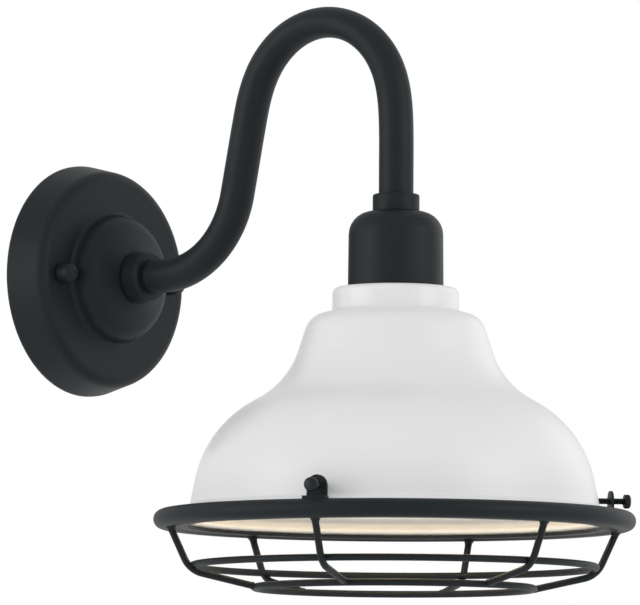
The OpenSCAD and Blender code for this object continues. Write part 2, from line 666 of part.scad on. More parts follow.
backplate();
box_strap();
stud_strap();
strap_rivet();
ground_screw();
mount_studs();
cap_nuts();
arm_nipple();
arm_washer();
arm_nut();
neck_collar();
gooseneck();
end_collar();
socket_cup();
head_nipple();
head_nuts();
holder_bridge();
bridge_screws();
lamp_holder();
screw_shell();
centre_contact();
lead_live();
lead_neutral();
shade_ring();
shade();
bulb_glass();
bulb_base();
bulb_insulator();
bulb_contact();
guard_rim();
guard_tab(0);  // guard_tab_1
guard_tab(1);  // guard_tab_2
guard_tab(2);  // guard_tab_3
thumb_screw(0);  // thumb_screw_1
thumb_screw(1);  // thumb_screw_2
thumb_screw(2);  // thumb_screw_3
guard_mid_ring();
guard_low_ring();
guard_bar(0);  // guard_bar_1
guard_bar(1);  // guard_bar_2
guard_bar(2);  // guard_bar_3
guard_bar(3);  // guard_bar_4
guard_bar(4);  // guard_bar_5
guard_bar(5);  // guard_bar_6
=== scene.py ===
"""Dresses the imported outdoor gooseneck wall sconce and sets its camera, lights and floor.

The wall is the plane y = 0, the lamp reaches out along -Y and +Z is up. Sizes of pieces are written
in millimetres and turned into metres where a mesh is finished. The studio's sizes are in metres.
"""

import json
import logging
import math
from dataclasses import dataclass, field
from enum import Enum
from typing import Iterable, Optional, Sequence

import bmesh
import bpy
from bmesh.types import BMEdge, BMesh, BMVert
from bpy.types import Material, Node, NodeSocket, ShaderNodeTree
from mathutils import Matrix, Vector, noise


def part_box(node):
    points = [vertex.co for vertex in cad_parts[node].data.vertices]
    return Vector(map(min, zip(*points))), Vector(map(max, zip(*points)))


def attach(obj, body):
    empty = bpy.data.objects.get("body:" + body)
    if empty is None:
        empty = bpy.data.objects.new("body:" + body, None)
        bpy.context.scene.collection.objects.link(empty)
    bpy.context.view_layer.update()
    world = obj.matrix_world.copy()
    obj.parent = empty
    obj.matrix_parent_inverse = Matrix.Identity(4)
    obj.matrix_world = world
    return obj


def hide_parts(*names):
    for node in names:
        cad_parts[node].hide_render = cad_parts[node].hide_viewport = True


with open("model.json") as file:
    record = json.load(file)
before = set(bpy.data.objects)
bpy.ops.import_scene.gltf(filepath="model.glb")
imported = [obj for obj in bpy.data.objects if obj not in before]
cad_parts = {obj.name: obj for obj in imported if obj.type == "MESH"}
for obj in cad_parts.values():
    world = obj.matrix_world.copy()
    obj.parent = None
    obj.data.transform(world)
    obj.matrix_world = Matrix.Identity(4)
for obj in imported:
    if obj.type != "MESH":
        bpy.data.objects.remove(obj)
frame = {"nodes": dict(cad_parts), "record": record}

LOG = logging.getLogger("sconce")
MM = 0.001
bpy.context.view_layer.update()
WHITE = (1.0, 1.0, 1.0, 1.0)
Triple = tuple[float, float, float]
Pair = tuple[float, float]
Pairs = Sequence[Pair]
Loop = list[BMEdge]
Key = int | str

# Distance from the wall to the lamp's axis.
REACH = 220.0
LAMP_AXIS = Matrix.Translation((0.0, -REACH, 0.0))
# Turns the Z axis away from the wall.
OUTWARD = Matrix.Rotation(math.radians(90.0), 4, "X")
# Vertices nearer to each other than this are one, and this near to a cylinder they lie on it.
MERGE = 0.0005
ON_SURFACE = 0.01


class Body(Enum):
    """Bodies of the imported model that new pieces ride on."""

    FIXTURE = "fixture"
    BULB = "bulb"
    GUARD = "guard"
    SCREW_1 = "screw_1"
    SCREW_2 = "screw_2"
    SCREW_3 = "screw_3"


class Slot(Enum):
    """Material slots of the record."""

    POWDER = "black_powder_coat"
    SCREW = "black_screw"
    ZINC = "zinc_plate"
    GREEN = "green_ground"
    ENAMEL = "white_enamel"
    PORCELAIN = "holder_porcelain"
    BRASS = "brass_contact"
    LEAD_BLACK = "lead_black"
    LEAD_WHITE = "lead_white"
    RESIN = "ring_resin"
    GLASS = "frosted_glass"
    BULB_SHELL = "bulb_shell"
    INSULATOR = "bulb_insulator"
    TIP = "bulb_tip"


def rgba(colour: Triple) -> tuple[float, float, float, float]:
    """Returns the colour with full opacity."""
    return (*colour, 1.0)


def shade_of(colour: Triple, factor: float) -> Triple:
    """Returns the colour made lighter or darker by a factor."""
    return tuple(min(1.0, channel * factor) for channel in colour)


# Node trees.


def fill(node: Node, values: dict[str, object]) -> None:
    """Gives a node's inputs their values."""
    for key, value in values.items():
        node.inputs[key].default_value = value


class NodeTree:
    """A shader node tree with short ways to add nodes and to link them."""

    def __init__(self, tree: ShaderNodeTree) -> None:
        """Takes the tree."""
        self.tree = tree

    def add(self, kind: str, values: Optional[dict] = None, **settings: object) -> Node:
        """Adds a node.

        Args:
            kind: The node's type without its ShaderNode prefix.
            values: Values for its inputs.
            **settings: Properties that are set on it first.

        Returns:
            The new node.
        """
        node = self.tree.nodes.new("ShaderNode" + kind)
        for key, value in settings.items():
            setattr(node, key, value)
        fill(node, values or {})
        return node

    def link(self, *pairs: tuple[NodeSocket, NodeSocket]) -> None:
        """Links each pair of an output and an input."""
        for start, end in pairs:
            self.tree.links.new(start, end)

    def wire(self, *routes: tuple[Node, Key, Node, Key]) -> None:
        """Links nodes, each route giving a node, its output, the next node and its input."""
        for giver, output, taker, entry in routes:
            self.link((giver.outputs[output], taker.inputs[entry]))


class Group(NodeTree):
    """A shader node group with named inputs and outputs."""

    def __init__(self, name: str, inputs: dict[str, object], outputs: dict[str, str]) -> None:
        """Makes the empty group.

        Args:
            name: The group's name.
            inputs: Input names with their default value, or None for a vector.
            outputs: Output names with their socket type.
        """
        super().__init__(bpy.data.node_groups.new(name, "ShaderNodeTree"))
        kinds = {type(None): "NodeSocketVector", float: "NodeSocketFloat", tuple: "NodeSocketColor"}
        for key, value in inputs.items():
            kind = kinds[type(value)]
            socket = self.tree.interface.new_socket(key, in_out="INPUT", socket_type=kind)
            if value is not None:
                socket.default_value = value
        for key, kind in outputs.items():
            self.tree.interface.new_socket(key, in_out="OUTPUT", socket_type=kind)
        self.given = self.tree.nodes.new("NodeGroupInput")
        self.made = self.tree.nodes.new("NodeGroupOutput")


class SharedGroups:
    """The node groups that the finishes use, each built once."""

    def __init__(self) -> None:
        """Builds every group."""
        self.grain = self._grain()
        self.dust = self._dust()
        self.lathe = self._lathe()

    @staticmethod
    def _grain() -> ShaderNodeTree:
        """Fine pebbled grain with slow patches, for coats and castings."""
        group = Group(
            "pebbled_grain",
            {"Vector": None, "Grain": 900.0, "Patch": 20.0},
            {"Height": "NodeSocketFloat", "Patches": "NodeSocketFloat"},
        )
        fine = group.add("TexNoise", {"Detail": 3.0, "Roughness": 0.6})
        cells = group.add("TexVoronoi", {"Smoothness": 0.6}, feature="SMOOTH_F1")
        patches = group.add("TexNoise", {"Detail": 2.0})
        total = group.add("Math", operation="ADD")
        for node, scale in ((fine, "Grain"), (cells, "Grain"), (patches, "Patch")):
            group.wire((group.given, "Vector", node, "Vector"), (group.given, scale, node, "Scale"))
        group.wire(
            (fine, "Fac", total, 0),
            (cells, "Distance", total, 1),
            (total, 0, group.made, "Height"),
            (patches, "Fac", group.made, "Patches"),
        )
        return group.tree

    @staticmethod
    def _dust() -> ShaderNodeTree:
        """Thin dust that settles on faces that look up."""
        black, pale = (0.0, 0.0, 0.0, 1.0), (0.5, 0.48, 0.44, 1.0)
        group = Group(
            "settled_dust",
            {"Vector": None, "Amount": 0.2, "Clean": black, "Dust": pale},
            {"Color": "NodeSocketColor"},
        )
        facing = group.add("NewGeometry")
        axes = group.add("SeparateXYZ")
        upward = group.add("MapRange", {"From Min": 0.35, "From Max": 1.0})
        speckle = group.add("TexNoise", {"Scale": 160.0, "Detail": 5.0})
        spread = group.add("MapRange", {"From Min": 0.4, "From Max": 0.75})
        both = group.add("Math", operation="MULTIPLY")
        amount = group.add("Math", operation="MULTIPLY", use_clamp=True)
        mix = group.add("Mix", data_type="RGBA")
        group.wire(
            (facing, "Normal", axes, 0),
            (axes, "Z", upward, "Value"),
            (group.given, "Vector", speckle, "Vector"),
            (speckle, "Fac", spread, "Value"),
            (upward, 0, both, 0),
            (spread, 0, both, 1),
            (both, 0, amount, 0),
            (group.given, "Amount", amount, 1),
            (amount, 0, mix, "Factor"),
            (group.given, "Clean", mix, "A"),
            (group.given, "Dust", mix, "B"),
            (mix, "Result", group.made, "Color"),
        )
        return group.tree

    @staticmethod
    def _lathe() -> ShaderNodeTree:
        """Faint level rings that spinning leaves in sheet metal under its coat."""
        group = Group(
            "spinning_marks", {"Vector": None, "Rings": 1500.0}, {"Height": "NodeSocketFloat"}
        )
        axes = group.add("SeparateXYZ")
        scaled = group.add("Math", operation="MULTIPLY")
        rings = group.add("TexNoise", {"Scale": 1.0, "Detail": 3.0}, noise_dimensions="1D")
        group.wire(
            (group.given, "Vector", axes, 0),
            (axes, "Z", scaled, 0),
            (group.given, "Rings", scaled, 1),
            (scaled, 0, rings, "W"),
            (rings, "Fac", group.made, "Height"),
        )
        return group.tree


class Shader(NodeTree):
    """One material's node tree round a Principled BSDF, fed with Object coordinates."""

    def __init__(self, name: str, colour: Triple, roughness: float, metallic: float = 0.0) -> None:
        """Makes the material.

        Args:
            name: The material's name.
            colour: Base colour, linear.
            roughness: Roughness of the surface.
            metallic: 1 for bare metal.
        """
        self.material = bpy.data.materials.new(name)
        self.material.use_nodes = True
        super().__init__(self.material.node_tree)
        self.surface = self.tree.nodes["Principled BSDF"]
        fill(self.surface, {"Base Color": rgba(colour), "Roughness": roughness, "Metallic": metallic})
        self.material.diffuse_color = rgba(colour)
        self.coords = self.add("TexCoord")

    def group(self, tree: ShaderNodeTree, **values: float) -> Node:
        """Places a shared group, fed with the object's own coordinates and the values."""
        node = self.add("Group", values, node_tree=tree)
        self.wire((self.coords, "Object", node, "Vector"))
        return node

    def spread(self, mask: NodeSocket, low: float, high: float) -> NodeSocket:
        """Maps a mask's middle, from 0.35 to 0.65, onto low to high."""
        bounds = {"From Min": 0.35, "From Max": 0.65, "To Min": low, "To Max": high}
        node = self.add("MapRange", bounds)
        self.link((mask, node.inputs["Value"]))
        return node.outputs[0]

    def vary(self, mask: NodeSocket, first: Triple, second: Triple) -> NodeSocket:
        """Mixes two colours by a mask, with the first where it is low."""
        mix = self.add("Mix", {"A": rgba(first), "B": rgba(second)}, data_type="RGBA")
        self.link((self.spread(mask, 0.0, 1.0), mix.inputs["Factor"]))
        return mix.outputs["Result"]

    def bump(
        self, height: NodeSocket, strength: float, depth: float, under: Optional[NodeSocket] = None
    ) -> NodeSocket:
        """Adds a bump to the surface.

        Args:
            height: The height's socket.
            strength: The bump's strength.
            depth: Height of the relief in metres.
            under: Normal of a bump beneath this one.

        Returns:
            The new normal's socket.
        """
        node = self.add("Bump", {"Strength": strength, "Distance": depth})
        self.link((height, node.inputs["Height"]), (node.outputs[0], self.surface.inputs["Normal"]))
        if under is not None:
            self.link((under, node.inputs["Normal"]))
        return node.outputs[0]


# Finishes.


@dataclass(frozen=True)
class Coat:
    """A surface with slow patches and a pebbled grain, and where asked with dust and spun rings."""

    name: str
    colour: Triple
    roughness: float
    grain: float = 900.0
    relief: float = 0.00004
    strength: float = 0.35
    tones: Pair = (0.92, 1.08)
    uneven: Pair = (0.92, 1.08)
    patch: float = 20.0
    dust: float = 0.0
    rings: float = 0.0
    ring_relief: float = 0.00004
    metallic: float = 0.0
    coat: float = 0.0
    coat_roughness: float = 0.08
    specular: float = 0.5

    def build(self, groups: SharedGroups) -> Material:
        """Builds the material from the shared node groups."""
        shader = Shader(self.name, self.colour, self.roughness, self.metallic)
        layer = {"Coat Weight": self.coat, "Coat Roughness": self.coat_roughness}
        fill(shader.surface, {**layer, "Specular IOR Level": self.specular})
        grain = shader.group(groups.grain, Grain=self.grain, Patch=self.patch)
        patches = grain.outputs["Patches"]
        tint = shader.vary(patches, *(shade_of(self.colour, tone) for tone in self.tones))
        if self.dust > 0:
            settled = shader.group(groups.dust, Amount=self.dust)
            shader.link((tint, settled.inputs["Clean"]))
            tint = settled.outputs["Color"]
        rough = shader.spread(patches, *(self.roughness * factor for factor in self.uneven))
        inputs = shader.surface.inputs
        shader.link((tint, inputs["Base Color"]), (rough, inputs["Roughness"]))
        under = None
        if self.rings > 0:
            marks = shader.group(groups.lathe)
            under = shader.bump(marks.outputs["Height"], self.rings, self.ring_relief)
        shader.bump(grain.outputs["Height"], self.strength, self.relief, under)
        return shader.material


@dataclass(frozen=True)
class Glow:
    """Frosted glass that is lit from within, and that a camera sees without glare."""

    name: str
    colour: Triple
    light: Triple
    strength: float
    seen: float
    roughness: float = 0.45
    grain: float = 1400.0
    patch: float = 30.0
    dimmest: float = 0.94
    frost: Pair = (0.2, 0.00003)

    def build(self, groups: SharedGroups) -> Material:
        """Builds the material from the shared node groups."""
        shader = Shader(self.name, self.colour, self.roughness)
        grain = shader.group(groups.grain, Grain=self.grain, Patch=self.patch)
        tint = shader.vary(grain.outputs["Patches"], shade_of(self.light, self.dimmest), self.light)
        path = shader.add("LightPath")
        toned = shader.add("Mix", data_type="RGBA")
        fill(toned, {"B": rgba(shade_of(self.light, self.seen / self.strength))})
        shader.link(
            (path.outputs["Is Camera Ray"], toned.inputs["Factor"]),
            (tint, toned.inputs["A"]),
            (toned.outputs["Result"], shader.surface.inputs["Emission Color"]),
        )
        fill(shader.surface, {"Emission Strength": self.strength})
        shader.bump(grain.outputs["Height"], *self.frost)
        return shader.material


# How much darker and lighter plated metal gets.
PLATED = (0.9, 1.1)
FINISHES = {
    Slot.POWDER: Coat(
        "black_powder_coat", (0.0085, 0.0127, 0.015), 0.5, 1100.0, dust=0.008, specular=0.21
    ),
    Slot.SCREW: Coat(
        "satin_black_screw", (0.008, 0.011, 0.013), 0.4, 1500.0, 0.00002, specular=0.28
    ),
    Slot.ZINC: Coat(
        "dull_zinc_plate", (0.60, 0.60, 0.58), 0.38, 700.0, 0.00002, 0.2, PLATED, metallic=1.0
    ),
    Slot.GREEN: Coat("green_ground_plating", (0.03, 0.24, 0.07), 0.32, 900.0, 0.00002, 0.2, PLATED),
    Slot.ENAMEL: Coat(
        "white_enamel", (0.80, 0.80, 0.80), 0.33, 260.0, 0.00003, 0.05, (0.985, 1.0), (0.9, 1.12),
        patch=9.0, dust=0.05, rings=0.08,
    ),
    Slot.PORCELAIN: Coat("lamp_holder_porcelain", (0.82, 0.79, 0.73), 0.3, 500.0, coat=0.5),
    Slot.BRASS: Coat(
        "stamped_brass", (0.78, 0.56, 0.22), 0.28, 500.0, 0.00002, 0.2, PLATED, metallic=1.0
    ),
    Slot.LEAD_BLACK: Coat("black_lead_insulation", (0.02, 0.02, 0.021), 0.45, 1200.0),
    Slot.LEAD_WHITE: Coat("white_lead_insulation", (0.75, 0.75, 0.72), 0.45, 1200.0),
    Slot.RESIN: Coat("moulded_black_resin", (0.02, 0.019, 0.018), 0.3, 800.0, 0.00003),
    Slot.GLASS: Glow("frosted_bulb_glass", (0.8, 0.78, 0.74), (1.0, 0.78, 0.46), 6.4, 0.4),
    Slot.BULB_SHELL: Coat(
        "bulb_shell_metal", (0.72, 0.73, 0.75), 0.25, 700.0, 0.00002, 0.15, (0.95, 1.05), metallic=1.0
    ),
    Slot.INSULATOR: Coat("bulb_base_insulator", (0.015, 0.015, 0.017), 0.18, 700.0),
    Slot.TIP: Coat("soldered_tip", (0.6, 0.61, 0.62), 0.35, 600.0, 0.00003, 0.4, PLATED, metallic=1.0),
}


class Palette:
    """Every finish of the light as a material, by its slot in the record."""

    def __init__(self) -> None:
        """Builds the shared groups and one material for each slot."""
        groups = SharedGroups()
        self.materials = {slot: finish.build(groups) for slot, finish in FINISHES.items()}

    def dress_nodes(self, record: dict, nodes: dict[str, bpy.types.Object]) -> None:
        """Gives each CAD node, found by its name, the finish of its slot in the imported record."""
        for part in record["subparts"]:
            node = nodes[part["node"]]
            node.data.materials.clear()
            node.data.materials.append(self.materials[Slot(part["material_slot"])])
            for face in node.data.polygons:
                face.use_smooth = True
            LOG.info("node %s: %s", part["node"], part["material_slot"])


# Mesh making.


@dataclass
class Piece:
    """A new piece under construction, in millimetres."""

    name: str
    body: Body
    slot: Slot
    stands_for: Sequence[str] = ()
    smooth_angle: float = 60.0
    mesh: BMesh = field(default_factory=bmesh.new)

    def finish(self, palette: Palette) -> None:
        """Turns the mesh into an object in its slot's finish that rides on its body."""
        bmesh.ops.remove_doubles(self.mesh, verts=self.mesh.verts[:], dist=MERGE)
        bmesh.ops.recalc_face_normals(self.mesh, faces=self.mesh.faces[:])
        self.move(self.mesh.verts[:], Matrix.Scale(MM, 4))
        data = bpy.data.meshes.new(self.name)
        self.mesh.to_mesh(data)
        self.mesh.free()
        data.materials.append(palette.materials[self.slot])
        data.polygons.foreach_set("use_smooth", [True] * len(data.polygons))
        data.set_sharp_from_angle(angle=math.radians(self.smooth_angle))
        piece = bpy.data.objects.new(self.name, data)
        bpy.context.scene.collection.objects.link(piece)
        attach(piece, self.body.value)
        if self.stands_for:
            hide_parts(*self.stands_for)
        LOG.info("piece %s: %d faces on %s", self.name, len(data.polygons), self.body.value)

    def move(self, verts: Sequence[BMVert], place: Matrix) -> None:
        """Transforms the vertices by a matrix."""
        bmesh.ops.transform(self.mesh, matrix=place, verts=verts)

    def lathe(self, profile: Pairs, segments: int) -> list[BMVert]:
        """Spins a profile about the Z axis.

        Args:
            profile: Points (radius, height) in order.
            segments: Steps of the full turn.

        Returns:
            The new vertices.
        """
        before = set(self.mesh.verts)
        points = [self.mesh.verts.new((radius, 0.0, height)) for radius, height in profile]
        edges = [self.mesh.edges.new(pair) for pair in zip(points, points[1:])]
        turn = {"cent": (0, 0, 0), "axis": (0, 0, 1), "angle": math.tau, "steps": segments}
        bmesh.ops.spin(self.mesh, geom=points + edges, use_merge=True, **turn)
        made = [vert for vert in self.mesh.verts if vert not in before]
        bmesh.ops.remove_doubles(self.mesh, verts=made, dist=MERGE)
        return [vert for vert in self.mesh.verts if vert not in before]

    def sweep(self, places: Sequence[Matrix], radius: float, segments: int) -> tuple[Loop, Loop]:
        """Extrudes a circle from place to place.

        Args:
            places: Where the circle, which lies across the local Z axis, goes in turn.
            radius: The circle's radius.
            segments: Its sides.

        Returns:
            The edges of the first and of the last circle.
        """
        shape = {"cap_ends": False, "segments": segments, "radius": radius}
        verts = bmesh.ops.create_circle(self.mesh, **shape)["verts"]
        first = loop = list(dict.fromkeys(edge for vert in verts for edge in vert.link_edges))
        placed = Matrix.Identity(4)
        for index, goal in enumerate(places):
            if index:
                made = bmesh.ops.extrude_edge_only(self.mesh, edges=loop)["geom"]
                verts = [item for item in made if isinstance(item, BMVert)]
                fresh = set(verts)
                edges = [item for item in made if isinstance(item, BMEdge)]
                loop = [edge for edge in edges if all(vert in fresh for vert in edge.verts)]
            self.move(verts, goal @ placed.inverted())
            placed = goal
        return first, loop

    def bead(self, size: Triple, detail: int, **unevenness: float) -> list[BMVert]:
        """Adds a bead of weld about the origin.

        Args:
            size: Its half sizes.
            detail: How finely it is divided.
            **unevenness: How it is roughened.

        Returns:
            The new vertices.
        """
        made = bmesh.ops.create_icosphere(self.mesh, subdivisions=detail, radius=1.0)["verts"]
        self.move(made, Matrix.Diagonal((*size, 1.0)))
        roughen(made, **unevenness)
        return made


def roughen(verts: Iterable[BMVert], amount: float, grain: float, seed: int) -> None:
    """Moves vertices about their middle a little, as on a hand-made weld.

    Args:
        verts: The weld's vertices.
        amount: The largest move, in millimetres.
        grain: How fast the unevenness changes, per millimetre.
        seed: Makes each weld differ.
    """
    for vert in verts:
        level = noise.noise(vert.co * grain + Vector((7.3 * seed, 3.1 * seed, 0.0)))
        vert.co += vert.co.normalized() * (amount * level)


def press(vert: BMVert, depth: float) -> None:
    """Moves a vertex towards the Z axis by a depth."""
    reach = math.hypot(vert.co.x, vert.co.y)
    factor = (reach - depth) / reach
    vert.co.x *= factor
    vert.co.y *= factor


def lies_on(vert: BMVert, radius: float) -> bool:
    """Tells whether a vertex lies on the cylinder of that radius about the Z axis."""
    return abs(math.hypot(vert.co.x, vert.co.y) - radius) < ON_SURFACE


@dataclass(frozen=True)
class Thread:
    """A helical thread, cut into a lathed surface by moving its vertices inwards."""

    pitch: float
    depth: float
    start: float
    end: float
    rows: int = 8
    rolled: bool = False

    def heights(self) -> list[float]:
        """Returns the heights of the rows that the thread needs."""
        count = max(1, round((self.end - self.start) / self.pitch * self.rows))
        return [self.start + (self.end - self.start) * i / count for i in range(count + 1)]

    def cut(self, point: Vector) -> float:
        """Returns the groove's depth at a point, less within two thirds of a pitch of an end."""
        phase = (point.z / self.pitch - math.atan2(point.y, point.x) / math.tau) % 1.0
        wave = 0.5 - 0.5 * math.cos(math.tau * phase) if self.rolled else 1 - abs(2 * phase - 1)
        inside = min(point.z - self.start, self.end - point.z) / self.pitch
        return self.depth * wave * max(0.0, min(1.0, inside * 1.5))

    def apply(self, verts: Iterable[BMVert], radius: float) -> None:
        """Cuts the thread into those vertices that lie on a cylinder about the Z axis."""
        for vert in verts:
            if lies_on(vert, radius) and self.start <= vert.co.z <= self.end:
                press(vert, self.cut(vert.co))

    def turn(self, piece: Piece, profile: Pairs, segments: int, place: Matrix, *radii: float) -> None:
        """Lathes a profile with this thread and puts it in its place.

        Args:
            piece: The piece that it belongs to.
            profile: Points (radius, height) in order.
            segments: Steps of the full turn.
            place: Where its Z axis goes.
            *radii: The cylinders that have the thread.
        """
        made = piece.lathe(profile, segments)
        for radius in radii:
            self.apply(made, radius)
        piece.move(made, place)


# Sub-assemblies.


@dataclass
class Arm:
    """The bent tube arm. Its bends start and end softly and are a little flat, as in a real one."""

    palette: Palette
    tube_d: float = 18.4
    wall: float = 1.5
    lower_bend_r: float = 52.0
    lean: float = 12.0
    riser: float = 49.0
    arch_r: float = 50.5
    drop: float = 50.6
    seat: float = 41.5
    arch_flat: float = 0.10
    lower_flat: float = 0.04
    widened: float = 0.03
    ease: float = 0.25
    crown_room: float = 0.1
    segments: int = 64
    lower_steps: int = 36
    arch_steps: int = 96

    def bend(self, heading: float, sweep: float) -> list[tuple[Vector, float]]:
        """Returns a bend whose curve is tightest along its middle, where its radius is 1.

        Args:
            heading: Degrees above the level at its start.
            sweep: Degrees of the whole turn, downwards.

        Returns:
            Points from the bend's start, with the degrees turned so far.
        """
        whole = math.radians(sweep)
        ramp = self.ease * whole
        step = (whole + ramp) / self.arch_steps
        point, turned = Vector((0.0, 0.0)), 0.0
        found = [(point.copy(), 0.0)]
        for index in range(self.arch_steps):
            middle = (index + 0.5) * step
            turned += step * min(1.0, middle / ramp, (whole + ramp - middle) / ramp)
            angle = math.radians(heading) - abs(turned - step / 2)
            point += step * Vector((math.cos(angle), math.sin(angle)))
            found.append((point.copy(), math.degrees(turned)))
        return found

    def stations(self) -> list[tuple[Vector, float, float]]:
        """Returns points (y, z) along the tube, with the heading and how much flatter it is there."""
        lean = math.radians(self.lean)
        along = Vector((math.sin(lean), math.cos(lean)))
        foot = REACH - self.lower_bend_r * math.cos(lean) - self.riser * along.x
        foot -= self.arch_r * (1 + math.cos(lean))
        found = [(Vector((self.seat, 0.0)), 0.0, 0.0)]
        sweep = 90.0 - self.lean
        for step in range(self.lower_steps + 1):
            turn = sweep * step / self.lower_steps
            angle = math.radians(turn)
            rise = self.lower_bend_r * Vector((math.sin(angle), 1 - math.cos(angle)))
            amount = self.lower_flat * self.flat(turn, sweep)
            found.append((Vector((foot, 0.0)) + rise, turn, amount))
        riser_foot = found[-1][0]
        crown = riser_foot.y + self.riser * along.y + self.arch_r * (1 - along.x)
        crown += self.arch_flat * self.tube_d / 2 - self.crown_room
        whole = 180.0 - self.lean
        arch = self.bend(sweep, whole)
        width, height = arch[-1][0].x, max(point.y for point, _ in arch)
        across, up = REACH - riser_foot.x, crown - riser_foot.y
        radius = (across * along.y - up * along.x) / (width * along.y - height * along.x)
        start = riser_foot + along * (up - radius * height) / along.y
        for point, turn in arch:
            amount = self.arch_flat * self.flat(turn, whole)
            found.append((start + radius * point, sweep - turn, amount))
        end = riser_foot.y + self.riser * along.y - self.arch_r * along.x - self.drop
        found.append((Vector((REACH, end)), -90.0, 0.0))
        return found

    @staticmethod
    def flat(turn: float, sweep: float) -> float:
        """Returns the share of a bend's flattening after a turn, 0 at its ends and 1 in its middle."""
        return max(0.0, math.sin(math.pi * turn / sweep)) ** 1.5

    def placing(self, point: Vector, heading: float, amount: float) -> Matrix:
        """Returns the matrix that lays the tube's circle across its path.

        Args:
            point: The station's distance from the wall and height.
            heading: Degrees above the level, out from the wall.
            amount: How much flatter the tube is there, as a share of its diameter.

        Returns:
            The placing, with the section squeezed in the arm's plane and widened across it.
        """
        wider = 1 + self.widened * amount / self.arch_flat
        squeeze = Matrix.Diagonal((wider, 1 - amount, 1.0, 1.0))
        turn = Matrix.Rotation(math.radians(90.0 - heading), 4, "X")
        return Matrix.Translation((0.0, -point.x, point.y)) @ turn @ squeeze

    def build(self) -> None:
        """Sweeps the tube along its stations and gives it its wall."""
        piece = Piece("arm_tube", Body.FIXTURE, Slot.POWDER, ("gooseneck",))
        places = [self.placing(*station) for station in self.stations()]
        piece.sweep(places, self.tube_d / 2, self.segments)
        bmesh.ops.recalc_face_normals(piece.mesh, faces=piece.mesh.faces[:])
        bmesh.ops.solidify(piece.mesh, geom=piece.mesh.faces[:], thickness=self.wall)
        piece.finish(self.palette)


@dataclass
class WallSide:
    """Threads and stripped lead ends behind and through the backplate."""

    palette: Palette
    stud_x: float = 44.45
    stud_d: float = 4.1
    stud_from: float = 5.1
    stud_to: float = 29.5
    stud_tip: float = 0.35
    stud_pitch: float = 0.794
    stud_groove: float = 0.42
    head_d: float = 7.8
    head_h: float = 1.8
    head_edge: float = 0.3
    head_seat: float = 0.2
    nipple_d: float = 9.6
    nipple_bore: float = 6.6
    nipple_from: float = 29.9
    nipple_to: float = 41.5
    nipple_pitch: float = 0.94
    nipple_groove: float = 0.5
    nipple_edge: float = 0.4
    bore_edge: float = 0.2
    thread_inset: float = 0.3
    lead_x: float = 1.25
    lead_end: float = 9.0
    strip: float = 6.0
    strip_overlap: float = 0.5
    strands: int = 7
    strand_r: float = 0.23
    lay_r: float = 0.42
    lay_pitch: float = 9.0
    strand_rows: int = 16

    def build(self) -> None:
        """Builds the studs, the nipple and the tinned ends of the leads."""
        self.build_studs()
        self.build_nipple()
        self.build_lead_ends()

    def thread(self, pitch: float, depth: float, low: float, high: float) -> Thread:
        """Returns a thread that starts and ends a little inside its cylinder."""
        return Thread(pitch, depth, low + self.thread_inset, high - self.thread_inset)

    def build_studs(self) -> None:
        """Builds the two threaded studs with their flat heads."""
        piece = Piece("threaded_studs", Body.FIXTURE, Slot.ZINC, ("mount_studs",), 50.0)
        radius, head_r = self.stud_d / 2, self.head_d / 2
        back, seat = self.stud_from - self.head_h, self.stud_from
        thread = self.thread(self.stud_pitch, self.stud_groove, seat, self.stud_to)
        profile = [
            (0.0, back),
            (head_r - self.head_edge, back),
            (head_r, back + self.head_edge),
            (head_r, seat - self.head_seat),
            (head_r - self.head_seat, seat),
            (radius, seat),
            *((radius, height) for height in thread.heights()),
            (radius - self.stud_tip, self.stud_to),
            (0.0, self.stud_to),
        ]
        for side in (-1, 1):
            place = Matrix.Translation((side * self.stud_x, 0.0, 0.0)) @ OUTWARD
            thread.turn(piece, profile, 40, place, radius)
        piece.finish(self.palette)

    def build_nipple(self) -> None:
        """Builds the threaded nipple that ties the arm to the boss."""
        piece = Piece("threaded_arm_nipple", Body.FIXTURE, Slot.ZINC, ("arm_nipple",), 50.0)
        radius, bore = self.nipple_d / 2, self.nipple_bore / 2
        low, high = self.nipple_from, self.nipple_to
        thread = self.thread(self.nipple_pitch, self.nipple_groove, low, high)
        ring = [
            (bore + self.bore_edge, low),
            (radius - self.nipple_edge, low),
            *((radius, height) for height in thread.heights()),
            (radius - self.nipple_edge, high),
            (bore + self.bore_edge, high),
            (bore, high - self.bore_edge),
            (bore, low + self.bore_edge),
            (bore + self.bore_edge, low),
        ]
        thread.turn(piece, ring, 48, OUTWARD, radius)
        piece.finish(self.palette)

    def build_lead_ends(self) -> None:
        """Builds the stripped and tinned end of each lead: six strands twisted round a seventh."""
        piece = Piece("tinned_lead_ends", Body.FIXTURE, Slot.TIP)
        rows = self.strand_rows
        profile = [(0.0, 0.0)]
        profile += [(self.strand_r, self.strip * i / rows) for i in range(rows + 1)]
        profile += [(0.0, self.strip)]
        start = self.lead_end - self.strip + self.strip_overlap
        for side in (-1, 1):
            place = Matrix.Translation((side * self.lead_x, 0.0, 0.0)) @ OUTWARD
            for strand in range(self.strands):
                outer = self.strands - 1
                lay = 0.0 if strand == outer else self.lay_r
                made = piece.lathe(profile, 10)
                for vert in made:
                    angle = math.tau * (strand / outer + vert.co.z / self.lay_pitch)
                    vert.co.x += lay * math.cos(angle)
                    vert.co.y += lay * math.sin(angle)
                piece.move(made, place @ Matrix.Translation((0.0, 0.0, start)))
        piece.finish(self.palette)


